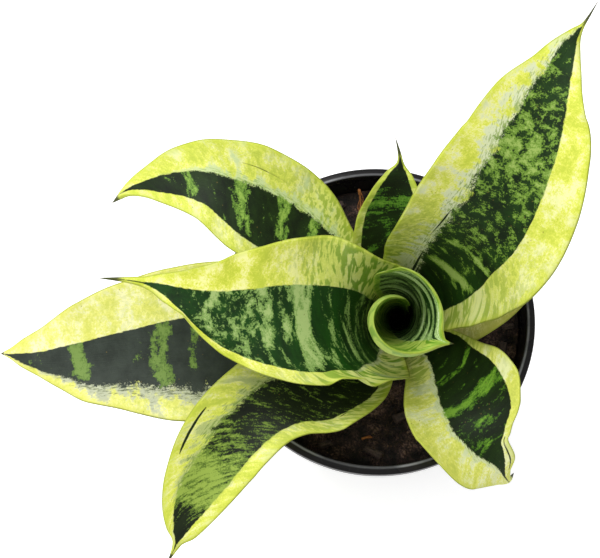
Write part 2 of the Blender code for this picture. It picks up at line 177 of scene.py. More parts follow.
def with_holes(mesh):
    """The pot's mesh with its drain holes cut."""
    cutter = bmesh.new()
    for number in range(DRAIN_HOLES):
        turn = 2 * pi * (number + 0.5) / DRAIN_HOLES
        place = Matrix.Translation((DRAIN_CIRCLE * cos(turn), DRAIN_CIRCLE * sin(turn), 0))
        bmesh.ops.create_cone(
            cutter, cap_ends=True, segments=32, radius1=DRAIN_RADIUS, radius2=DRAIN_RADIUS,
            depth=8 * MM, matrix=place,
        )
    shell = bpy.data.objects.new("pot_shell", mesh)
    pins = bpy.data.objects.new("drain_pins", mesh_of("drain_pins", cutter))
    for item in (shell, pins):
        bpy.context.scene.collection.objects.link(item)
    boolean = shell.modifiers.new("drain holes", "BOOLEAN")
    boolean.operation = "DIFFERENCE"
    boolean.solver = "EXACT"
    boolean.object = pins
    graph = bpy.context.evaluated_depsgraph_get()
    cut = bpy.data.meshes.new_from_object(shell.evaluated_get(graph), depsgraph=graph)
    for item in (shell, pins):
        bpy.data.objects.remove(item, do_unlink=True)
    return cut


def black_polypropylene():
    """Moulded black polypropylene: a soft shine, a faint grain from the mould, films of dried soil, and a
    thin grey line painted round the lip as a highlight on its inner edge. The grain is drawn at 0.6 mm,
    coarser than it is, to show."""
    material, tree, shader = finish("moulded black polypropylene")
    place = add(tree, "TexCoord", [], out="Object")
    grain = add(tree, "TexNoise", {"Vector": place, "Scale": 1 / (0.6 * MM), "Detail": 3.0})
    clouds = add(tree, "TexNoise", {"Vector": place, "Scale": 1 / (14 * MM), "Detail": 5.0})
    dusty = add(tree, "MapRange", [clouds, 0.42, 0.72, 0.0, 0.3])
    x, y, height = add(tree, "SeparateXYZ", [place]).node.outputs
    out = add(tree, "VectorMath", [add(tree, "CombineXYZ", [x, y])], out="Value", operation="LENGTH")
    # The mask of the grey line round the lip, a painted highlight, patchy along its length.
    beside = add(tree, "Math", [out, LIP_HIGHLIGHT_RADIUS], operation="SUBTRACT")
    aside = add(tree, "Math", [beside], operation="ABSOLUTE")
    on_line = add(tree, "MapRange", [aside, 0.6 * MM, 0.1 * MM])
    on_lip = add(tree, "Math", [height, POT_HEIGHT - 1.2 * MM], operation="GREATER_THAN")
    highlight_strength = add(tree, "MapRange", [clouds, 0.38, 0.62, 0.3, 0.95])
    line = add(tree, "Math", [on_line, on_lip], operation="MULTIPLY")
    painted_highlight = add(tree, "Math", [line, highlight_strength], operation="MULTIPLY")
    # Films of dried soil, then the grey line round the lip, which is a painted highlight and not wear.
    colour = srgb("151415")
    for mask, over in [(dusty, "2b2624"), (painted_highlight, "8d8e92")]:
        colour = add(tree, "Mix", {0: mask, 6: colour, 7: srgb(over)}, out=2, data_type="RGBA")
    join(tree, shader, {
        "Base Color": colour,
        "Roughness": add(tree, "MapRange", [clouds, 0.3, 0.7, 0.22, 0.36]),
        "Specular IOR Level": 0.22,
        "Normal": add(tree, "Bump", {"Height": grain, "Strength": 0.15, "Distance": 0.05 * MM}),
        "IOR": 1.49,
    })
    return material


pot_mesh = with_holes(mesh_of("pot_body", pot_form()))
add_piece("nursery_pot", pot_mesh, black_polypropylene(), "black_plastic", "pot")
pot_mesh.set_sharp_from_angle(angle=radians(50))

# ---- the soil
# Peat potting soil, moist and nearly black, filled to 13 mm under the rim. The body under the surface
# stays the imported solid. Its top is a crust of crumbs and hair-fine fibres that has settled round the
# leaf bases, where it is heaped a little higher at the back.

SOIL_BELOW_RIM = 13 * MM
SOIL_TOP = POT_HEIGHT - SOIL_BELOW_RIM
SOIL_MOUND = 2.5 * MM
SOIL_EDGE = pot_wall(SOIL_TOP) - POT_WALL - 0.25 * MM
CROWN_PLACE = Vector((7.0 * MM, 2.1 * MM, SOIL_TOP + SOIL_MOUND))
CROWN_LEAN = radians(13)
CROWN_RADIUS = 18 * MM
CRUST_RISE = 0.7 * MM
CRUST_DEPTH = 1.2 * MM
CRUST_EDGE = 2 * MM
CRUST_DIP = 0.5 * MM
HEAP_RISE = 1.0 * MM
HEAP_REACH = 11 * MM
CRUMBS = 1500
FIBRES = 520
chance = np.random.default_rng(11)


def soil_top(x, y):
    """Height of the packed soil: a low mound round the crown and slow swells."""
    from_crown = hypot(x - CROWN_PLACE.x, y - CROWN_PLACE.y)
    mound = SOIL_MOUND * cos(min(1, from_crown / POT_RIM) * pi / 2)
    swell = 0.9 * MM * sin(95 * x + 1.0) * cos(120 * y - 0.6)
    ripple = 0.5 * MM * sin(230 * y + 140 * x)
    return SOIL_TOP + mound + swell + ripple


def crust_top(x, y):
    """Height of the crumbly surface, heaped against the leaf bases."""
    out = Vector((x - CROWN_PLACE.x, y - CROWN_PLACE.y))
    heap = CROWN_PLACE.z + HEAP_RISE + min(out.y, CROWN_RADIUS) * sin(CROWN_LEAN)
    share = min(1, max(0, (out.length - CROWN_RADIUS) / HEAP_REACH))
    share = share * share * (3 - 2 * share)
    level = soil_top(x, y) + CRUST_RISE
    return level * share + max(level, heap) * (1 - share)


def crumbly(x, y):
    """The fine relief of the soil: clods, crumbs and grains."""
    place = Vector((x, y, 0))
    clods = noise.fractal(place / (7 * MM), 1.0, 2.0, 3) * 0.7 * MM
    crumbs = (0.5 - noise.cell(place / (1.7 * MM))) * 0.35 * MM
    grains = noise.noise(place / (0.8 * MM) + Vector((9, 4, 1))) * 0.35 * MM
    return clods + crumbs + grains


def crust_form():
    """The crust: a round sheet, raised to the crumbly surface and closed underneath."""
    rings = 84
    line = [(SOIL_EDGE * number / rings, 0) for number in range(rings + 1)]
    form = turned(line, steps=300, merged=0.05 * MM)
    raised = bmesh.ops.extrude_face_region(form, geom=form.faces[:])["geom"]
    top = {item for item in raised if isinstance(item, bmesh.types.BMVert)}
    for vert in form.verts:
        x, y = vert.co.xy
        if vert in top:
            edge = min(1, (SOIL_EDGE - hypot(x, y)) / CRUST_EDGE)
            vert.co.z = crust_top(x, y) + crumbly(x, y) * edge - CRUST_DIP * (1 - edge)
        else:
            vert.co.z = soil_top(x, y) - CRUST_DEPTH
    return form


def scattered(margin):
    """A random place on the soil, at least this far from its edge."""
    turn = chance.uniform(0, 2 * pi)
    out = (SOIL_EDGE - margin) * sqrt(chance.uniform(0, 1))
    return out * cos(turn), out * sin(turn)


def crumbs_form():
    """Loose crumbs of peat, each a lump of its own, all in one mesh."""
    form = bmesh.new()
    for _ in range(CRUMBS):
        x, y = scattered(2 * MM)
        size = MM * (0.35 + 0.9 * chance.uniform(0, 1) ** 3)
        stretch = Matrix.Diagonal((size, size * chance.uniform(0.5, 1), size * chance.uniform(0.4, 0.9), 1))
        spin = Euler(tuple(chance.uniform(0, 2 * pi, 3))).to_matrix().to_4x4()
        place = Matrix.Translation((x, y, crust_top(x, y) + crumbly(x, y) + 0.25 * size))
        lump = bmesh.ops.create_icosphere(form, subdivisions=1, radius=1, matrix=place @ spin @ stretch)
        for vert in lump["verts"]:
            vert.co += (vert.co - place.translation) * 0.5 * noise.noise(vert.co / (0.7 * MM))
    return form


def thread(form, points, radii, sides=5):
    """Adds a thin tapering strand through the points: a small ring, extruded from point to point."""
    strand = bmesh.new()
    ahead = (points[1] - points[0]).normalized()
    turn = ahead.to_track_quat("Z", "Y").to_matrix().to_4x4()
    ring = bmesh.ops.create_circle(
        strand, cap_ends=True, segments=sides, radius=radii[0], matrix=Matrix.Translation(points[0]) @ turn,
    )["verts"]
    face = ring[0].link_faces[0]
    for before, point, first, second in zip(points, points[1:], radii, radii[1:]):
        face = bmesh.ops.extrude_discrete_faces(strand, faces=[face])["faces"][0]
        bmesh.ops.translate(strand, verts=face.verts, vec=point - before)
        about = Matrix.Translation(-point)
        bmesh.ops.scale(strand, verts=face.verts, vec=(second / first,) * 3, space=about)
    made = mesh_of("strand", strand)
    form.from_mesh(made)
    bpy.data.meshes.remove(made)


def fibres_form():
    """Peat fibres lying every way on the surface, a few of them lifting at one end."""
    form = bmesh.new()
    for _ in range(FIBRES):
        x, y = scattered(5 * MM)
        heading = chance.uniform(0, 2 * pi)
        bend = chance.uniform(-1.2, 1.2)
        length = MM * chance.uniform(2, 7)
        lift = MM * chance.uniform(0, 1) ** 4 * 3
        points = []
        for step in range(5):
            height = crust_top(x, y) + crumbly(x, y) + 0.1 * MM + lift * (step / 4) ** 2
            points.append(Vector((x, y, height)))
            x += length / 4 * cos(heading + bend * step / 4)
            y += length / 4 * sin(heading + bend * step / 4)
        thick = MM * chance.uniform(0.07, 0.16)
        thread(form, points, [thick * (1 - 0.12 * step) for step in range(5)], sides=4)
    return form


def moist_peat(name, dark, light):
    """Moist peat: matt and nearly black, with brown fibre where it has begun to dry."""
    material, tree, shader = finish(name)
    place = add(tree, "TexCoord", [], out="Object")
    fine = add(tree, "TexNoise", {
        "Vector": place, "Scale": 1 / (0.8 * MM), "Detail": 6.0, "Roughness": 0.7,
    })
    wide = add(tree, "TexNoise", {"Vector": place, "Scale": 1 / (7 * MM), "Detail": 5.0})
    drier = add(tree, "Math", [fine, wide], operation="MULTIPLY")
    colour = srgb(dark)
    for low, high, over in [(0.20, 0.31, light), (0.29, 0.38, "6e574c")]:
        mask = add(tree, "MapRange", [drier, low, high])
        colour = add(tree, "Mix", {0: mask, 6: colour, 7: srgb(over)}, out=2, data_type="RGBA")
    join(tree, shader, {
        "Base Color": colour,
        "Roughness": 0.85,
        "Specular IOR Level": 0.3,
        "Normal": add(tree, "Bump", {"Height": fine, "Strength": 0.8, "Distance": 0.4 * MM}),
    })
    return material


peat = moist_peat("moist peat", "0f0b0a", "3b2b27")
fibre = moist_peat("peat fibre", "24160e", "5a402c")
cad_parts["soil"].data.materials.clear()
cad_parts["soil"].data.materials.append(peat)
add_piece("soil_crust", mesh_of("soil_crust", crust_form()), peat, "potting_soil")
add_piece("soil_crumbs", mesh_of("soil_crumbs", crumbs_form()), peat, "potting_soil")
add_piece("soil_fibres", mesh_of("soil_fibres", fibres_form()), fibre, "potting_soil")

# ---- the roots
# The crown that the leaves grow from, with its fleshy roots. The soil hides it, and it stays the packed
# solid in a root's own skin: pale, matt and wrinkled lengthways.


def root_skin():
    """Root skin: buff and matt, stained brown by the peat."""
    material, tree, shader = finish("buff root skin")
    place = add(tree, "TexCoord", [], out="Object")
    long = add(tree, "Mapping", {"Vector": place, "Scale": (900, 900, 160)})
    wrinkles = add(tree, "TexNoise", {"Vector": long, "Scale": 1.0, "Detail": 4.0})
    colour = srgb("7a5530")
    for low, high, over in [(0.35, 0.55, "b98a55"), (0.55, 0.75, "d2ad7a")]:
        mask = add(tree, "MapRange", [wrinkles, low, high])
        colour = add(tree, "Mix", {0: mask, 6: colour, 7: srgb(over)}, out=2, data_type="RGBA")
    join(tree, shader, {
        "Base Color": colour,
        "Roughness": 0.7,
        "Normal": add(tree, "Bump", {"Height": wrinkles, "Strength": 0.5, "Distance": 0.3 * MM}),
    })
    return material


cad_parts["root_crown"].data.materials.clear()
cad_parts["root_crown"].data.materials.append(root_skin())

# ---- the leaves
# Nine thick, waxy leaves of a dwarf variegated snake plant. Each grew as one piece: fleshy along its
# keel, sharp at its wavy margins and drawn out to a dry needle at the tip. Each sheathes the next newer
# one at its base, and the newest is still rolled up in the middle of the rosette.

LEAF_THICK = 2.4 * MM
BASE_THICK = 1.8 * MM
THICKENS_OVER = 40 * MM
INNER_RING = 5.0 * MM
RING_STEP = 2.6 * MM
MARGIN_SHARPNESS = 0.6
LEAF_ROWS = 190
LEAF_COLUMNS = 72
ROLLED_COLUMNS = 112
# How much further the rolled leaf's inner margin turns in, and up to how many mm along it.
COIL = radians(85)
COIL_TIGHTENS = 0.36
COIL_ENDS = 100
COIL_FADE = 16
COIL_POWER = 2.5
THICK_SHARE = 1.4
MARGIN_POWER = 3
WAVES_FROM = 40
WAVY_WIDTH = 12 * MM
BAND_WOBBLE = 0.8
BAND_WOBBLES = 7
BAND_END = 0.12
BAND_FILL = 0.7
BAND_COVER = 0.66
NO_LINE = 9.0
SEED_STEP = 41.0
CROWN = Matrix.Translation(CROWN_PLACE) @ Matrix.Rotation(CROWN_LEAN, 4, "X")
# A margin's waves: height and length in mm, and their shifts from leaf to leaf and from side to side.
WAVES = [(0.55, 5.2, 2.1, 2.4), (0.35, 2.3, 1.3, -1.1)]

# A leaf stands on one of the crown's rings, at the angle of its side, and grows towards its heading. Each
# half wraps the crown by base_curl there. Its stations run along its keel in the crown's frame: (x, y, z),
# half of its width, the roll that lowers its right side and the curl of each half. The tip and the length
# of its needle follow. Lengths are in millimetres and angles in degrees. The tables run along it from the
# base, and across it from -1 at the left margin to 1 at the right:
#   young (along, share): how far the margins are still green
#   centre (along, left, right): where the dark centre ends on either side
#   fringe (along, left, right): width in mm of the grey-green fringe outside the centre
#   mottle (along, share): share of the centre that pale mottles cover
#   flow (along, lean, stretch): mm that the cross-bands lean over a half width, and how far they are
#     drawn out across the leaf
#   bands (along at the left margin, at the right margin, left end, right end, width, strength)
# Some leaves also have:
#   flare (along, left, right): shares of the curl that the halves keep
#   push (along, left, right): mm that the margins lean over towards the right
#   trims (along, left, right): shares of the half widths that the margins reach
#   streaks (along, across, along, across, width): thin dark lines, at most two
#   lap: how many times the left half's curl the right half has, where the leaf is rolled
WHOLE = [(0, 1, 1), (150, 1, 1)]
STILL = [(0, 0, 0), (150, 0, 0)]
Leaf = namedtuple(
    "Leaf",
    "name ring side heading base_curl stations tip needle young centre fringe mottle flow"
    " bands flare push trims streaks lap",
    defaults=[[], WHOLE, STILL, WHOLE, [], 1.0],
)

LEAVES = [
    Leaf("leaf_centre_rolled", 0, -34, -34, 165, [
        (4.4, -3.6, 28, 20, 0, 165), (4, -5.2, 55, 27, 0, 160), (4.8, -7.2, 74, 34, 0, 145),
        (6.4, -8.8, 86, 29.5, 0, 112), (7.6, -9.6, 93, 15.5, 0, 58), (8.8, -9.8, 97, 4.5, 0, 16),
        (11, -10.6, 100, 1.2, 0, 5),
    ], (14, -11, 101), needle=1.5, lap=1.33,
        young=[(0, 1), (110, 1)],
        centre=[(0, -0.85, 0.55), (60, -0.92, 0.25), (80, -0.93, 0.12), (92, -0.9, 0.05), (98, -0.6, 0.1),
            (104, 0, 0.05)],
        fringe=[(0, 1, 2), (104, 0.5, 0.5)],
        mottle=[(0, 0.42), (60, 0.46), (104, 0.5)],
        flow=[(0, 8, 0.24), (70, 12, 0.24), (104, 16, 0.3)]),
    Leaf("leaf_left", 1, 188, 176, 92, [
        (-10.5, -2, 20, 19, 4, 96), (-14.5, -3.5, 38, 31, 0, 100), (-23, -1.5, 53, 31, -2, 66),
        (-38, -0.5, 62, 29.5, 0, 42), (-54, 1, 67, 23.5, 0, 34), (-66, 3, 70, 17.5, 0, 30),
        (-76, 6.5, 72, 10, 0, 26), (-84, 9.5, 73, 4.4, 0, 20), (-91, 10.8, 73, 1.7, 0, 8),
    ], (-106, 12, 74), needle=9,
        young=[(0, 1), (50, 1), (66, 0.7), (80, 0.2), (98, 0), (145, 0)],
        flare=[(0, 1, 1), (20, 1, 1), (36, 0.86, 1), (50, 0.9, 1), (66, 1, 1), (145, 1, 1)],
        push=[(0, 0, 0), (28, 0.5, 0), (36, 3, 0), (46, 3, 0), (51, 1.8, -1), (55, 5.2, -2), (61, 5.5, 0),
            (66, 3.2, 1.5), (78, 3.2, 0), (88, 2.5, 0), (97, 2.5, 0), (106, 4, 0), (111, 4, 0),
            (116, 2.2, 0), (122, 0, 0), (145, 0, 0)],
        centre=[(0, -0.5, 0.3), (34, -0.46, 0.34), (46, -0.56, 0.37), (56, -0.72, 0.38),
            (80, -0.76, 0.37), (95, -0.8, 0.31), (108, -0.76, 0.25), (120, -0.6, 0.15),
            (130, -0.4, 0), (140, -0.2, 0)],
        fringe=[(0, 2.5, 1.2), (44, 2.5, 1.2), (58, 0.5, 0.8), (145, 0.4, 0.6)],
        mottle=[(0, 0.3), (42, 0.4), (60, 0.34), (80, 0.38), (92, 0.45), (105, 0.38), (120, 0.28),
            (135, 0.1)],
        flow=[(0, 14, 0.2), (45, 15, 0.2), (60, 12, 0.24), (75, 6, 0.4), (95, 1, 0.85), (140, 0, 1)],
        bands=[(65, 77, -0.75, 0.9, 5, 1), (81, 88, -0.5, 0.5, 3.6, 0.9),
            (103, 105, -0.65, 0.8, 2.2, 1), (75, 80, -0.45, 0.05, 2.4, 0.8),
            (56, 66, -0.7, 0.1, 2, 0.8), (45, 58, -0.6, 0.3, 3, 0.8),
            (92, 93, -0.6, -0.1, 2.6, 0.7)]),
    Leaf("leaf_back_right", 2, 46, 58, 74, [
        (10.5, 10.5, 20, 18, -10, 72), (14, 15.5, 38, 23, -4, 64), (20.5, 22.5, 55, 29, 0, 58),
        (28.5, 31, 72, 30, 0, 44), (35, 43.5, 84, 27.5, 0, 34), (39.5, 56, 92, 23, 0, 28),
        (43, 70, 97, 17, 0, 25), (48.5, 81, 100, 9.4, 0, 22), (54, 90, 102, 3.6, 0, 18),
        (57, 94, 103, 1.5, 0, 8),
    ], (62, 102, 104), needle=10,
        young=[(0, 1), (45, 0.8), (65, 0.45), (90, 0.1), (165, 0)],
        trims=[(0, 1, 1), (120, 1, 1), (130, 0.92, 1), (140, 0.84, 1), (148, 0.92, 0.9), (154, 0.8, 0.6),
            (158, 0.42, 0.42), (166, 0.5, 0.5)],
        centre=[(0, -0.35, 0.6), (40, -0.31, 0.6), (55, -0.36, 0.52), (70, -0.39, 0.46),
            (100, -0.4, 0.44), (115, -0.38, 0.48), (130, -0.28, 0.58), (145, -0.34, 0.62),
            (154, -0.4, 0.5), (163, -0.1, 0.2)],
        fringe=[(0, 8, 0.8), (60, 10, 0.6), (90, 8, 0.6), (125, 8, 0.8), (145, 4, 0.5), (165, 1, 0.5)],
        mottle=[(0, 0.1), (34, 0.16), (45, 0.3), (60, 0.36), (75, 0.42), (85, 0.38), (95, 0.42),
            (108, 0.54), (120, 0.46), (132, 0.4), (152, 0.34), (160, 0.1)],
        flow=[(0, -18, 0.25), (45, -14, 0.35), (60, -6, 0.6), (80, 0, 0.9), (160, 0, 0.8)],
        bands=[(48, 49, -0.35, 0.6, 3.2, 1), (59, 65, -0.3, 0.55, 2.4, 0.8),
            (42, 44, 0, 0.5, 1.4, 0.6)],
        streaks=[(22, -0.37, 80, -0.475, 1.2), (22, -0.31, 66, -0.4, 0.7)]),
    Leaf("leaf_front_left", 2, 226, 226, 48, [
        (-11.5, -12.5, 14, 12, 0, 40), (-19, -21, 27, 18, 0, 42), (-33, -26, 41, 22, 0, 38),
        (-48, -32, 47, 19, 0, 34), (-60, -42, 48, 17.5, 0, 32), (-69, -55, 46, 15, 0, 30),
        (-75.5, -68, 42, 11, 0, 28), (-79, -78, 40, 5.5, 0, 20), (-80.5, -82, 39, 1.7, 0, 8),
    ], (-84, -89, 38), needle=4,
        young=[(0, 1), (45, 0.8), (65, 0.4), (90, 0.15), (140, 0.1)],
        trims=[(0, 1, 1), (52, 1, 1), (62, 0.82, 1), (72, 0.86, 1), (84, 0.94, 1), (94, 1, 1)],
        centre=[(0, -0.7, 0.3), (40, -0.73, 0.3), (60, -0.7, 0.34), (85, -0.66, 0.33), (105, -0.64, 0.42),
            (118, -0.54, 0.54), (127, -0.36, 0.5), (134, -0.1, 0.2)],
        fringe=[(0, 0.8, 5), (60, 0.8, 7), (95, 1.2, 6), (120, 0.6, 1)],
        mottle=[(0, 0.3), (50, 0.35), (75, 0.4), (92, 0.5), (104, 0.66), (113, 0.66), (120, 0.35),
            (130, 0.2)],
        flow=[(0, 18, 0.4), (140, 16, 0.5)],
        bands=[(92, 96, 0.2, 0.75, 4, 0.8)],
        streaks=[(85, 0.8, 102, 0.8, 1), (31, -0.62, 52, -0.76, 0.6)]),
    Leaf("leaf_back_small", 3, 94, 92, 38, [
        (-0.5, 20, 12, 10.5, 0, 34), (-2, 28, 20, 16, 0, 40), (-2, 37, 26, 15, 0, 40),
        (-1, 46, 31, 10.5, 0, 36), (0, 52, 34, 5.6, 0, 28), (0.5, 56.5, 35.5, 1.8, 0, 8),
    ], (-1.5, 66, 38), needle=8,
        young=[(0, 0.9), (35, 0.7), (68, 0.5)],
        trims=[(0, 1, 1), (54, 1, 1), (60, 0.6, 0.6), (68, 0.6, 0.6)],
        centre=[(0, -0.75, 0.7), (30, -0.78, 0.72), (48, -0.76, 0.68), (57, -0.7, 0.6), (64, -0.2, 0.2)],
        fringe=[(0, 0.8, 0.8), (68, 0.4, 0.4)],
        mottle=[(0, 0.35), (36, 0.38), (42, 0.55), (48, 0.35), (60, 0.2)],
        flow=[(0, 2, 0.3), (68, 0, 0.3)],
        bands=[(41, 42, -0.9, 0.9, 2, 0.7)]),
    Leaf("leaf_front_right", 3, 306, 300, 32, [
        (13.5, -14, 16, 12.5, 0, 40), (18.5, -22, 29, 17, 0, 44), (22.5, -31, 39, 20, 0, 46),
        (25.5, -40, 44, 18.5, 0, 48), (28, -48, 44.5, 14, 0, 48), (33, -54, 42, 9.5, 0, 38),
        (36.5, -58, 38, 4.2, 0, 25), (39, -59.5, 35, 1.8, 0, 10),
    ], (42, -57, 31), needle=3.5,
        young=[(0, 1), (25, 0.8), (45, 0.2), (92, 0.1)],
        push=[(0, 0, 0), (46, -0.3, 0), (53, -1.6, 0.6), (57, -1.8, 1), (61, 0, 1), (68, 0.6, 0),
            (76, 0, 0), (92, 0, 0)],
        trims=[(0, 1, 1), (28, 1, 1), (42, 1.2, 1.1), (50, 1.3, 1.2), (57, 1.06, 1.28), (62, 0.86, 1.3),
            (68, 0.92, 1.26), (76, 1, 1.15), (84, 1, 1)],
        centre=[(0, -0.92, 0.15), (20, -0.9, 0.2), (30, -0.84, 0.28), (42, -0.76, 0.33),
            (50, -0.72, 0.33), (57, -0.82, 0.32), (62, -0.8, 0.24), (70, -0.7, 0.05),
            (78, -0.45, -0.2), (86, -0.3, -0.2)],
        fringe=[(0, 0.4, 0.8), (36, 0.5, 3), (66, 0.6, 3.5), (82, 0.4, 1)],
        mottle=[(0, 0.1), (20, 0.2), (40, 0.26), (60, 0.34), (80, 0.24)],
        flow=[(0, 7, 0.3), (90, 5, 0.35)],
        bands=[(29, 41, -0.95, 0.9, 2.2, 0.72), (45.5, 54, -0.95, 0.95, 3.6, 0.9),
            (56, 63, -0.7, 0.25, 2, 0.75), (62, 72, -0.55, 0.1, 3, 0.65),
            (26, 29, -0.4, 0.3, 1.2, 0.55)],
        streaks=[(64, -0.86, 80, -0.75, 0.6)]),
    Leaf("leaf_back_left", 3, 168, 160, 23, [
        (-15, 5.5, 9, 7.5, 4, 28), (-26, 22, 22, 14, 5, 30), (-41, 35, 29, 20.5, 0, 34),
        (-56, 43, 35, 21.5, 0, 34), (-70, 48, 36, 17.5, 0, 32), (-82, 50, 32, 12.5, 0, 32),
        (-92, 49.5, 28, 7, 0, 40), (-100, 47.5, 23, 3, 0, 30),
    ], (-107, 43, 18), needle=5,
        young=[(0, 1), (45, 0.8), (65, 0.3), (130, 0.1)],
        trims=[(0, 1, 1), (66, 1, 1), (78, 0.88, 1), (90, 0.78, 1), (100, 0.84, 1), (110, 0.96, 1),
            (120, 1, 1)],
        centre=[(0, -0.6, 0.5), (40, -0.68, 0.45), (50, -0.7, 0.36), (60, -0.7, 0.29), (75, -0.62, 0.26),
            (90, -0.53, 0.25), (105, -0.56, 0.22), (115, -0.5, 0.12), (125, -0.2, -0.05)],
        fringe=[(0, 1, 2), (50, 1, 5), (80, 0.8, 4), (100, 0.6, 1.5), (115, 0.5, 0.6)],
        mottle=[(0, 0.15), (45, 0.22), (70, 0.26), (110, 0.24), (120, 0.15)],
        flow=[(0, 9, 0.6), (130, 8, 0.7)],
        bands=[(50, 64, -0.45, 0.8, 5, 0.85), (65, 84, -0.65, 0.8, 5, 0.82),
            (87, 102, -0.55, 0.6, 3.6, 0.78), (100, 105, -0.2, 0.3, 1.6, 0.7),
            (38, 49, -0.1, 0.9, 4.4, 0.85)],
        streaks=[(54, 0.615, 79, 0.59, 0.8)]),
    Leaf("leaf_outer_left", 4, 200, 186, 44, [
        (-20, -9, 6, 11, 6, 34), (-31, -13, 15, 16, 4, 28), (-46, -12, 25, 26.5, 0, 28),
        (-63, -9.5, 30, 30.5, 0, 26), (-82, -10.3, 33, 28.7, 0, 24), (-100, -11.3, 34, 24, 0, 22),
        (-115, -13, 34, 18.7, 0, 22), (-128, -13.7, 32, 12.2, 0, 20), (-138, -13.5, 29, 6.2, 0, 18),
        (-143, -13.5, 27, 2.2, 0, 10),
    ], (-147, -13.5, 25), needle=2,
        young=[(0, 1), (60, 0.3), (146, 0)],
        trims=[(0, 1, 1), (112, 1, 1), (122, 0.9, 0.97), (130, 0.82, 0.9), (137, 0.86, 0.88),
            (145, 1, 1)],
        centre=[(0, -0.6, 0.3), (70, -0.55, 0.34), (85, -0.55, 0.3), (95, -0.58, 0.25), (110, -0.6, 0.21),
            (120, -0.63, 0.17), (130, -0.72, 0.07), (138, -0.65, 0), (144, -0.3, -0.1)],
        fringe=[(0, 9, 0.4), (80, 10, 0.4), (105, 8, 0.4), (120, 3, 0.4), (140, 0.8, 0.4)],
        mottle=[(0, 0.1), (70, 0.12), (90, 0.16), (108, 0.16), (125, 0.22), (140, 0.15)],
        flow=[(0, 2, 0.9), (145, 0, 0.9)],
        bands=[(114, 114, -0.62, 0.3, 5, 1.05), (84, 84, -0.62, 0.4, 6, 0.9),
            (92, 92, -0.4, 0.1, 3, 0.55), (72, 72, -0.4, 0.4, 2.5, 0.8),
            (131, 131, -0.7, 0, 3, 0.5)]),
    Leaf("leaf_outer_right", 4, 10, 38, 40, [
        (22, 3, 8, 14, -26, 40), (28, 6, 18, 16, -20, 36), (36, 14, 27, 16, -8, 32),
        (43, 25, 33, 13, 0, 30), (49, 35, 36, 8, 0, 28), (52, 41, 37, 3.5, 0, 20),
        (54, 45, 38, 1.6, 0, 8),
    ], (57, 51, 39), needle=2,
        young=[(0, 0.6), (82, 0.1)],
        centre=[(0, -0.7, 0.5), (20, -0.7, 0.42), (60, -0.65, 0.4), (72, -0.5, 0.3), (80, -0.1, 0.1)],
        fringe=[(0, 2, 2), (80, 0.5, 0.5)],
        mottle=[(0, 0.3), (80, 0.2)],
        flow=[(0, 4, 0.5), (80, 0, 0.6)],
        bands=[(30, 32, -0.8, 0.6, 3, 0.9), (46, 48, -0.8, 0.6, 3, 0.9)]),
]


def through(places, values, wanted, level=False, start=None):
    """Values at the wanted places on a smooth curve through those given.

    A level curve rises or falls only where its values do. A start is the slope at the first place.
    """
    places = np.asarray(places, float)
    values = np.asarray(values, float)
    wanted = np.clip(wanted, places[0], places[-1])
    runs = np.diff(places)
    steps = np.diff(values, axis=0).T / runs
    before, after = steps[..., :-1], steps[..., 1:]
    slopes = (before * runs[1:] + after * runs[:-1]) / (runs[1:] + runs[:-1])
    if level:
        same_way = before * after > 0
        safe = np.where(same_way, before + after, 1.0)
        slopes = np.where(same_way, 2 * before * after / safe, 0.0)
    first = steps[..., :1] if start is None else np.array(start)[:, None]
    slopes = np.concatenate([first, slopes, steps[..., -1:]], axis=-1)
    index = np.clip(np.searchsorted(places, wanted) - 1, 0, len(runs) - 1)
    run = runs[index]
    t = (wanted - places[index]) / run
    low, high = values[index].T, values[index + 1].T
    return (
        (2 * t**3 - 3 * t**2 + 1) * low + (t**3 - 2 * t**2 + t) * run * slopes[..., index]
        + (3 * t**2 - 2 * t**3) * high + (t**3 - t**2) * run * slopes[..., index + 1]
    ).T


def read_table(table, along):
    """The columns of a leaf's table at these places along it, in millimetres."""
    table = np.array(table, float)
    return through(table[:, 0], table[:, 1:], along, level=True).T


def unit(vectors):
    """The vectors at length 1."""
    return vectors / np.linalg.norm(vectors, axis=-1, keepdims=True)


def keel_rows(leaf, share):
    """At these shares of the leaf's length: the keel's points, three directions there, and the shape."""
    ring = INNER_RING + leaf.ring * RING_STEP
    side = radians(leaf.side)
    base = (ring * cos(side), ring * sin(side), 0, ring * radians(leaf.base_curl), leaf.side - leaf.heading,
            leaf.base_curl)
    rows = [base] + [(*(MM * value for value in row[:4]), *row[4:]) for row in leaf.stations]
    keel = np.array([row[:3] for row in rows] + [tuple(MM * value for value in leaf.tip)])
    shape = np.array([row[3:] for row in rows] + [(0, rows[-1][4], rows[-1][5])])
    places = np.concatenate([[0], np.cumsum(np.linalg.norm(np.diff(keel, axis=0), axis=1))])
    wanted = share * places[-1]
    nudge = 0.1 * MM
    behind = np.clip(wanted - nudge, 0, places[-1] - nudge)
    middle, rear, front = (
        through(places, keel, spots, start=(0, 0, 1)) for spots in (wanted, behind, behind + nudge)
    )
    ahead = unit(front - rear)
    half_width, roll, curl = through(places, shape, wanted, level=True).T
    heading = radians(leaf.heading)
    right = np.array([sin(heading), -cos(heading), 0])
    right = unit(right - ahead * (ahead @ right)[:, None])
    roll = np.radians(roll)[:, None]
    right = right * np.cos(roll) + np.cross(ahead, right) * np.sin(roll)
    return wanted, middle, right, np.cross(right, ahead), half_width, np.radians(curl)


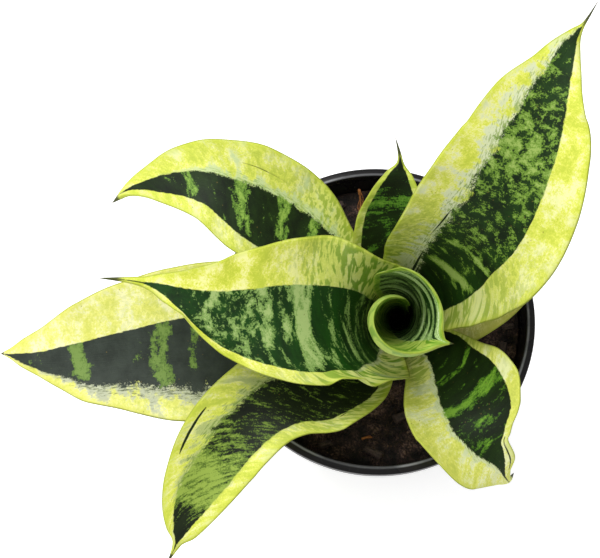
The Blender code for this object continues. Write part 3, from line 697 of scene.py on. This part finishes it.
def blade(leaf, number):
    """The leaf's mesh: a round blank with a pole at each end, drawn out along the keel and flattened."""
    columns = ROLLED_COLUMNS if leaf.lap > 1 else LEAF_COLUMNS
    blank = bmesh.new()
    bmesh.ops.create_uvsphere(blank, u_segments=columns, v_segments=LEAF_ROWS, radius=1)
    mesh = mesh_of(leaf.name, blank)
    round_blank = np.empty(len(mesh.vertices) * 3)
    mesh.vertices.foreach_get("co", round_blank)
    x, y, z = np.clip(round_blank.reshape(-1, 3).T, -1, 1)
    pole = np.abs(z) > 0.999999
    turn = np.where(pole, pi / 2, np.arctan2(y, x))
    share = 1 - np.arccos(z) / pi
    across = MARGIN_SHARPNESS * (1 - 2 * np.abs(turn) / pi) + (1 - MARGIN_SHARPNESS) * np.cos(turn)
    face = np.sin(turn)
    wanted, middle, right, up, half_width, curl = keel_rows(leaf, share)
    along = wanted / MM
    trim, flare, push = (
        np.where(across > 0, *reversed(read_table(table, along)))
        for table in (leaf.trims, leaf.flare, leaf.push)
    )
    curl = np.maximum(curl * flare * np.where(across > 0, leaf.lap, 1.0), 0.001)
    from_crown = np.linalg.norm(middle, axis=1)
    thick = BASE_THICK + (LEAF_THICK - BASE_THICK) * np.minimum(1, from_crown / THICKENS_OVER)
    thick = np.minimum(thick, THICK_SHARE * half_width)
    rise = np.sqrt(np.clip(1 - across**2, 0, 1)) * thick / 2 * np.sign(face) * ~pole
    radius = half_width / curl
    bend = curl * across * trim
    inner_radius = radius
    if leaf.lap > 1:
        inner = np.maximum(across, 0) ** COIL_POWER * np.clip((COIL_ENDS - along) / COIL_FADE, 0, 1)
        bend = bend + COIL * inner
        inner_radius = radius * (1 - COIL_TIGHTENS * inner)
    outer = np.abs(across) ** MARGIN_POWER
    wavy = outer * np.minimum(1, half_width / WAVY_WIDTH) * np.minimum(1, along / WAVES_FROM)
    wave = wavy * MM * sum(
        height * np.sin(along / length + shift * number + apart * np.sign(across))
        for height, length, shift, apart in WAVES
    )
    lean_in = (inner_radius - rise) * np.sin(bend) + push * MM * outer
    lift = radius - (inner_radius - rise) * np.cos(bend) + wave
    points = middle + right * lean_in[:, None] + up * lift[:, None]
    points = points @ np.array(CROWN.to_3x3()).T + np.array(CROWN.translation)
    mesh.vertices.foreach_set("co", points.ravel())
    mesh.update()
    paint(leaf, number, mesh, across, along, face, half_width / MM, trim)
    return mesh


def paint(leaf, number, mesh, across, along, face, half_width, trim):
    """Writes the leaf's own coordinates and its variegation, in millimetres, for its skin to read."""
    centre_left, centre_right = read_table(leaf.centre, along)
    fringe_left, fringe_right = read_table(leaf.fringe, along)
    cover, = read_table(leaf.mottle, along)
    young, = read_table(leaf.young, along)
    lean, stretch = read_table(leaf.flow, along)
    width = half_width * trim
    inside_left = (across - centre_left) * width
    inside_right = (centre_right - across) * width
    fringe = np.where(inside_left < inside_right, fringe_left, fringe_right)
    for low, high, left, right, wide, strength in leaf.bands:
        place = low + (high - low) * (across + 1) / 2 + BAND_WOBBLE * np.sin(BAND_WOBBLES * across + low)
        ends = np.clip((across - left) / BAND_END, 0, 1) * np.clip((right - across) / BAND_END, 0, 1)
        hump = np.exp(-((along - place) / (BAND_FILL * wide)) ** 4) * ends
        cover = cover + np.maximum(BAND_COVER * strength - cover, 0) * hump
    lines = np.full((2, len(along)), NO_LINE)
    for line, (first, start, last, end, wide) in zip(lines, leaf.streaks):
        t = (along - first) / (last - first)
        taper = np.sqrt(np.clip(4 * t * (1 - t), 0, 1)) * wide / 2
        off = np.abs(across - (start + (end - start) * t)) * width
        line[:] = np.where(taper > 0, off - taper, NO_LINE)
    seed = np.full_like(along, SEED_STEP * number)
    marks = {
        "grown": (across * width, along, seed),
        "flow": (across * width * stretch, along - lean * across, seed),
        "zones": (inside_left, inside_right, (1 - np.abs(across)) * width),
        "cover": (cover, young, fringe),
        "marks": (lines[0], lines[1], (along.max() - along) / leaf.needle),
        "face": (face, face, face),
    }
    for name, values in marks.items():
        attribute = mesh.attributes.new(name, "FLOAT_VECTOR", "POINT")
        attribute.data.foreach_set("vector", np.stack(values, axis=-1).ravel())


def leaf_skin(name, deep, dark, mottle, pale, lime, yellow, cream, bloom, sap, veil, strand, grain):
    """The waxy skin of a variegated leaf: green bands on a dark centre, a grey-green fringe, and yellow
    margins clouded with cream. The wax gives a soft, wide sheen, and the fibres under it fine ridges.
    The leaf's own coordinates are in millimetres, so the scales are per millimetre."""
    material, tree, shader = finish(name)
    grown, flow, zones, cover, marks, face = (
        add(tree, "Attribute", [], out="Vector", attribute_name=mark)
        for mark in ("grown", "flow", "zones", "cover", "marks", "face")
    )
    from_left, from_right, from_edge = add(tree, "SeparateXYZ", [zones]).node.outputs
    share, young, fringe = add(tree, "SeparateXYZ", [cover]).node.outputs
    first_line, second_line, to_tip = add(tree, "SeparateXYZ", [marks]).node.outputs
    soft = {"interpolation_type": "SMOOTHSTEP"}
    times = {"operation": "MULTIPLY"}
    times_plus = {"operation": "MULTIPLY_ADD"}
    blend = {"out": 2, "data_type": "RGBA"}

    fibres = add(tree, "Mapping", {"Vector": grown, "Scale": (1.6, 0.3, 1)})
    ragged = add(tree, "TexNoise", {"Vector": fibres, "Scale": 1.0, "Detail": 6.0, "Roughness": 0.7})
    cloud = add(tree, "TexNoise", {"Vector": flow, "Scale": 1 / 7, "Detail": 9.0, "Roughness": 0.68})
    fleck = add(tree, "TexNoise", {
        "Vector": flow, "Scale": 1 / grain, "Detail": 8.0, "Roughness": 0.66, "Distortion": 0.3,
    })
    fine = add(tree, "TexNoise", {"Vector": grown, "Scale": 1.5, "Detail": 4.0, "Roughness": 0.78})

    # The dark centre ends in a ragged edge, which runs out in bays where the fringe is wide.
    wander = add(tree, "Math", [ragged, 2.4, -1.2], **times_plus)
    nearest = add(tree, "Math", [from_left, from_right], operation="MINIMUM")
    speckle = add(tree, "Math", [fine, 0.6, cloud], **times_plus)
    uneven = add(tree, "Math", [speckle, 0.8], operation="SUBTRACT")
    bay = add(tree, "Math", [uneven, fringe], **times)
    near = add(tree, "Math", [wander, 0.55, nearest], **times_plus)
    depth = add(tree, "Math", [bay, 1.5, near], **times_plus)
    blurred = add(tree, "Math", [fringe, -0.1, -0.12], **times_plus)
    in_centre = add(tree, "MapRange", [depth, blurred, 0.2], **soft)

    # Pale mottles grow out of the dark, and run together where the share they cover is high.
    flecks = add(tree, "Math", [fleck, 0.64], **times)
    speckled = add(tree, "Math", [fine, 0.36, flecks], **times_plus)
    mottled = add(tree, "Math", [share, 0.5, speckled], **times_plus)
    centre = srgb(deep)
    for mask, colour in [
        (add(tree, "MapRange", [cloud, 0.38, 0.62]), dark),
        (add(tree, "MapRange", [mottled, 0.715, 0.755], **soft), mottle),
        (add(tree, "MapRange", [mottled, 0.77, 0.84], **soft), pale),
    ]:
        centre = add(tree, "Mix", {0: mask, 6: centre, 7: srgb(colour)}, **blend)

    # The fringe is a veil of grey-green patches and strands. Near the base the young margins are striped.
    fringe_end = add(tree, "Math", [fringe, -1.1], **times)
    in_fringe = add(tree, "MapRange", [depth, fringe_end, -0.1], **soft)
    wide_fringe = add(tree, "MapRange", [fringe, 0.5, 3.0])
    clouded = add(tree, "Math", [in_fringe, 0.2, cloud], **times_plus)
    patchy = add(tree, "MapRange", [clouded, 0.54, 0.68], **soft)
    veiled = add(tree, "Math", [patchy, wide_fringe], **times)
    stranded = add(tree, "Math", [in_fringe, 0.18, ragged], **times_plus)
    drawn = add(tree, "MapRange", [stranded, 0.63, 0.74, 0.0, 0.8], **soft)
    strands = add(tree, "Math", [drawn, wide_fringe], **times)
    striae = add(tree, "TexNoise", {"Vector": flow, "Scale": 1 / 1.5, "Detail": 3.0, "Distortion": 0.4})
    rib = add(tree, "MapRange", [striae, 0.46, 0.56], **soft)
    flesh = srgb(yellow)
    for mask, colour in [
        (add(tree, "MapRange", [speckle, 0.80, 0.66, 0.0, 0.85], **soft), lime),
        (add(tree, "MapRange", [speckle, 0.78, 0.90], **soft), cream),
        (add(tree, "Math", [young, 0.75], **times), bloom),
        (add(tree, "Math", [rib, young], **times), sap),
        (veiled, veil),
        (strands, strand),
        (add(tree, "MapRange", [from_edge, 3.0, 0.4, 0.0, 0.5], **soft), lime),
    ]:
        flesh = add(tree, "Mix", {0: mask, 6: flesh, 7: srgb(colour)}, **blend)

    # Over both lie a darker rim, thin dark lines, brown specks and the drying needle at the tip.
    pits = add(tree, "TexVoronoi", {"Vector": grown, "Scale": 1 / 2.6})
    sparse = add(tree, "TexNoise", {"Vector": grown, "Scale": 1 / 11, "Detail": 2.0})
    pitted = add(tree, "MapRange", [sparse, 0.50, 0.60, 0.0, 0.6])
    dots = add(tree, "MapRange", [pits, 0.12, 0.06], **soft)
    specks = add(tree, "Math", [pitted, dots], **times)
    wobbly = [
        add(tree, "Math", [wander, 0.2, line], **times_plus)
        for line in (first_line, second_line)
    ]
    skin = add(tree, "Mix", {0: in_centre, 6: flesh, 7: centre}, **blend)
    for mask, colour in [
        (add(tree, "MapRange", [from_edge, 0.6, 0.2, 0.0, 0.6], **soft), "8f9a2c"),
        (add(tree, "MapRange", [wobbly[0], 0.15, -0.1], **soft), "16260e"),
        (add(tree, "MapRange", [wobbly[1], 0.15, -0.1], **soft), "16260e"),
        (specks, "6b5a2a"),
        (add(tree, "MapRange", [face, 0.05, -0.05, 0.0, 0.25]), "9fb061"),
        (add(tree, "MapRange", [to_tip, 1.1, 0.75, 0.0, 0.92], **soft), "2b3018"),
        (add(tree, "MapRange", [to_tip, 0.3, 0.1], **soft), "5d4a30"),
    ]:
        skin = add(tree, "Mix", {0: mask, 6: skin, 7: srgb(colour)}, **blend)

    ridges = add(tree, "Mapping", {"Vector": grown, "Scale": (2.2, 0.12, 1)})
    ridges = add(tree, "TexNoise", {"Vector": ridges, "Scale": 1.0, "Detail": 3.0})
    pores = add(tree, "TexNoise", {"Vector": grown, "Scale": 3.2, "Detail": 1.0})
    relief = add(tree, "Math", [pores, 0.6, ridges], **times_plus)
    join(tree, shader, {
        "Base Color": skin,
        "Roughness": add(tree, "MapRange", [fine, 0.3, 0.7, 0.42, 0.58]),
        "Normal": add(tree, "Bump", {"Height": relief, "Strength": 0.4, "Distance": 0.22 * MM}),
        "IOR": 1.42,
        "Specular IOR Level": 0.22,
    })
    return material


PLAIN_SKIN = dict(deep="0d1a06", dark="1b380c", mottle="5f8434", pale="86a258", lime="b8c53a",
                  yellow="d8dc58", cream="e6e6a2", bloom="c6d07a", sap="86a032", veil="b9c193",
                  strand="66783d", grain=3.2)
SKINS = {
    "leaf_centre_rolled": dict(deep="0d2207", dark="183c0c", mottle="86a65c", pale="bccd98", grain=5.0,
        yellow="a3b83c", lime="6f9426", cream="bccb74", bloom="a3b950", sap="5f8a20"),
    "leaf_left": dict(deep="0e2708", dark="163e0c", mottle="72914a", pale="9ab06c",
        cream="eceb9c", sap="6c9028", bloom="c0cb72"),
    "leaf_back_right": dict(deep="0e1d08", dark="1a360c", mottle="66882f", pale="92ab56", grain=3.0,
        veil="cdd4ac", strand="7c9440"),
    "leaf_front_left": dict(deep="0c1306", dark="18230b", mottle="5c7528", pale="8aa142", grain=2.2,
        veil="a7b36e", strand="6c8438"),
    "leaf_back_small": dict(deep="0c1606", dark="15270a", mottle="45701f", pale="62882f", grain=2.2,
        yellow="c9d055"),
    "leaf_front_right": dict(deep="0c1804", dark="182c07", mottle="47701a", pale="6c982c", grain=2.2,
        lime="c4cc50", yellow="e0e266", cream="eef0b8", veil="cbd4a4", strand="a9ba66"),
    "leaf_back_left": dict(deep="0c1707", dark="1c2f0d", mottle="5e8230", pale="8cab4a", grain=2.8,
        veil="bccb92", strand="87a24e"),
    # The outer left leaf's deep and dark are slate grey: its dark green centre with a painted reflection of
    # the bright sky over it.
    "leaf_outer_left": dict(deep="262d26", dark="333b33", mottle="5a7632", pale="6f8a42", lime="ced05a",
        yellow="e2e17c", cream="ebe8b4", veil="b4b99c", strand="5d6644", grain=2.4),
    "leaf_outer_right": dict(yellow="c9c56c", lime="b6b552", sap="a9ab50", bloom="cdca80"),
}
for number, leaf in enumerate(LEAVES):
    looks = {**PLAIN_SKIN, **SKINS[leaf.name]}
    skin = leaf_skin(leaf.name.replace("_", " ") + ", waxy skin", **looks)
    add_piece(leaf.name + "_blade", blade(leaf, number), skin, "leaf", leaf.name)

# ---- the bark
# Composted pine bark in the mix: flat chips split along their grain, dull purplish brown, and one fresh
# orange sliver. They lie loose on the soil, where watering has floated and dropped them.

CHIPS = sorted(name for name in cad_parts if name.startswith("bark_chip"))
FRESH_CHIP = "bark_chip_17"


def chip_mesh(node):
    """A finer copy of a chip, ridged along its grain and broken across it."""
    form = bmesh.new()
    form.from_mesh(node.data)
    bmesh.ops.remove_doubles(form, verts=form.verts, dist=0.00001)
    bmesh.ops.subdivide_edges(form, edges=form.edges, cuts=4, use_grid_fill=True)
    spots = np.array([vert.co for vert in form.verts])
    middle = spots.mean(axis=0)
    axes = np.linalg.svd(spots - middle, full_matrices=False)[2]
    grown = (spots - middle) @ axes.T / MM
    form.normal_update()
    for vert, (along, side, over) in zip(form.verts, grown):
        ridge = noise.noise(Vector((along / 9, side / 1.1, over / 0.8)) + vert.co.xxx * 90)
        crumble = noise.noise(vert.co / (1.1 * MM))
        vert.co += vert.normal * MM * (0.45 * ridge + 0.2 * crumble)
    mesh = mesh_of(node.name, form)
    attribute = mesh.attributes.new("grain", "FLOAT_VECTOR", "POINT")
    attribute.data.foreach_set("vector", grown.ravel())
    return mesh


def bark(name, dark, light, bright):
    """Weathered pine bark: dry and matt, in dark plates with paler torn edges."""
    material, tree, shader = finish(name)
    grain = add(tree, "Attribute", [], out="Vector", attribute_name="grain")
    long = add(tree, "Mapping", {"Vector": grain, "Scale": (0.25, 1.6, 1.6)})
    plates = add(tree, "TexNoise", {"Vector": long, "Scale": 1.0, "Detail": 5.0, "Roughness": 0.65})
    dust = add(tree, "TexNoise", {"Vector": grain, "Scale": 1.9, "Detail": 3.0})
    colour = srgb(dark)
    for mask, over in [
        (add(tree, "MapRange", [plates, 0.38, 0.58]), light),
        (add(tree, "MapRange", [dust, 0.52, 0.75, 0.0, 0.6]), bright),
    ]:
        colour = add(tree, "Mix", {0: mask, 6: colour, 7: srgb(over)}, out=2, data_type="RGBA")
    join(tree, shader, {
        "Base Color": colour,
        "Roughness": 0.8,
        "Normal": add(tree, "Bump", {"Height": plates, "Strength": 0.6, "Distance": 0.4 * MM}),
    })
    return material


old_bark = bark("weathered pine bark", "1a120e", "40302a", "67534a")
fresh_bark = bark("fresh pine bark", "6a3c18", "9c5e28", "c08a4a")
for name in CHIPS:
    skin = fresh_bark if name == FRESH_CHIP else old_bark
    add_piece(name + "_chip", chip_mesh(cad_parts[name]), skin, "bark", name)

# ---- the straw
# A dry stalk with a few rootlets wound round it, orange brown and brittle. It came with the peat, and
# it leans from the soil towards the back of the pot.

STRAW_LOW, STRAW_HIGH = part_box("straw")
STRAW_STEPS = 14
STRAW_THICK = 0.55 * MM
ROOTLETS = 3
ROOTLET_THICK = 0.2 * MM


def straw_form():
    """The bent stalk and three rootlets that curl round it."""
    form = bmesh.new()
    foot = Vector(((STRAW_LOW.x + STRAW_HIGH.x) / 2, STRAW_LOW.y, STRAW_LOW.z + 0.7 * MM))
    reach = STRAW_HIGH.y - STRAW_LOW.y
    climb = STRAW_HIGH.z - STRAW_LOW.z - 1.2 * MM
    for strand in range(1 + ROOTLETS):
        points = []
        for step in range(STRAW_STEPS + 1):
            t = step / STRAW_STEPS
            coil = radians(90 * strand + 260 * t)
            loose = MM * (0.0 if strand == 0 else 0.3 + 0.9 * t * (1 - t) * 4)
            sway = 0.4 * MM * sin(4 * t) + loose * cos(coil)
            rise = climb * t**1.3 + loose * sin(coil) * 0.5
            points.append(foot + Vector((sway, reach * t, rise)))
        thick = STRAW_THICK if strand == 0 else ROOTLET_THICK
        radii = [thick * (1 - 0.35 * step / STRAW_STEPS) for step in range(STRAW_STEPS + 1)]
        thread(form, points, radii, sides=10)
    return form


def dry_straw():
    """Dry straw: orange brown and slightly glossy, ribbed along its length."""
    material, tree, shader = finish("dry straw")
    place = add(tree, "TexCoord", [], out="Object")
    ribs = add(tree, "Mapping", {"Vector": place, "Scale": (2600, 260, 2600)})
    ribs = add(tree, "TexNoise", {"Vector": ribs, "Scale": 1.0, "Detail": 3.0})
    ribbed = add(tree, "MapRange", [ribs, 0.35, 0.65])
    colour = add(tree, "Mix", {0: ribbed, 6: srgb("5b3517"), 7: srgb("a9692f")}, out=2, data_type="RGBA")
    join(tree, shader, {
        "Base Color": colour,
        "Roughness": 0.6,
        "Normal": add(tree, "Bump", {"Height": ribs, "Strength": 0.4, "Distance": 0.1 * MM}),
    })
    return material


add_piece("dry_stalk", mesh_of("dry_stalk", straw_form()), dry_straw(), "straw", "straw")

# ---- the studio
# A plain white floor that glows faintly, two broad soft lights, one over the back and one on the left,
# and a camera that looks steeply down on the plant from the front.

scene = bpy.context.scene
scene.view_settings.view_transform = "Standard"

floor_form = bmesh.new()
bmesh.ops.create_circle(floor_form, cap_ends=True, segments=64, radius=6)
floor_mesh = mesh_of("studio_floor", floor_form)
floor_paint, floor_tree, floor_shader = finish("matt white floor")
floor_grain = add(floor_tree, "TexNoise", {
    "Vector": add(floor_tree, "TexCoord", [], out="Object"), "Scale": 1 / (2 * MM),
})
join(floor_tree, floor_shader, {
    "Base Color": srgb("fbfbfb"),
    "Roughness": 0.9,
    "Emission Color": srgb("ffffff"),
    "Emission Strength": 0.55,
    "Normal": add(floor_tree, "Bump", {"Height": floor_grain, "Strength": 0.05, "Distance": 0.05 * MM}),
})
floor_mesh.materials.append(floor_paint)
floor = bpy.data.objects.new("studio_floor", floor_mesh)
scene.collection.objects.link(floor)

world = bpy.data.worlds.new("soft white studio")
world.use_nodes = True
world.node_tree.nodes["Background"].inputs["Color"].default_value = (1.0, 1.0, 1.0, 1.0)
world.node_tree.nodes["Background"].inputs["Strength"].default_value = 0.54
scene.world = world

# Each light is (name, place, size, watts) in metres, aimed at the middle of the plant.
MIDDLE = Vector((0, 0, 0.13))
for name, place, size, watts in [
    ("overhead_softbox", (-0.25, 0.35, 1.1), 0.7, 9.5),
    ("left_softbox", (-0.8, -0.1, 0.9), 0.8, 3.8),
]:
    light = bpy.data.lights.new(name, "AREA")
    light.shape = "SQUARE"
    light.size = size
    light.energy = watts
    lamp = bpy.data.objects.new(name, light)
    lamp.location = place
    lamp.rotation_euler = (MIDDLE - lamp.location).to_track_quat("-Z", "Y").to_euler()
    scene.collection.objects.link(lamp)

lens = bpy.data.cameras.new("front_camera")
lens.sensor_width = 36
lens.lens = 102.96
camera = bpy.data.objects.new("front_camera", lens)
camera.location = (-0.0292, -0.1652, 0.7339)
camera.rotation_euler = (radians(16), 0, 0)
scene.collection.objects.link(camera)
scene.camera = camera
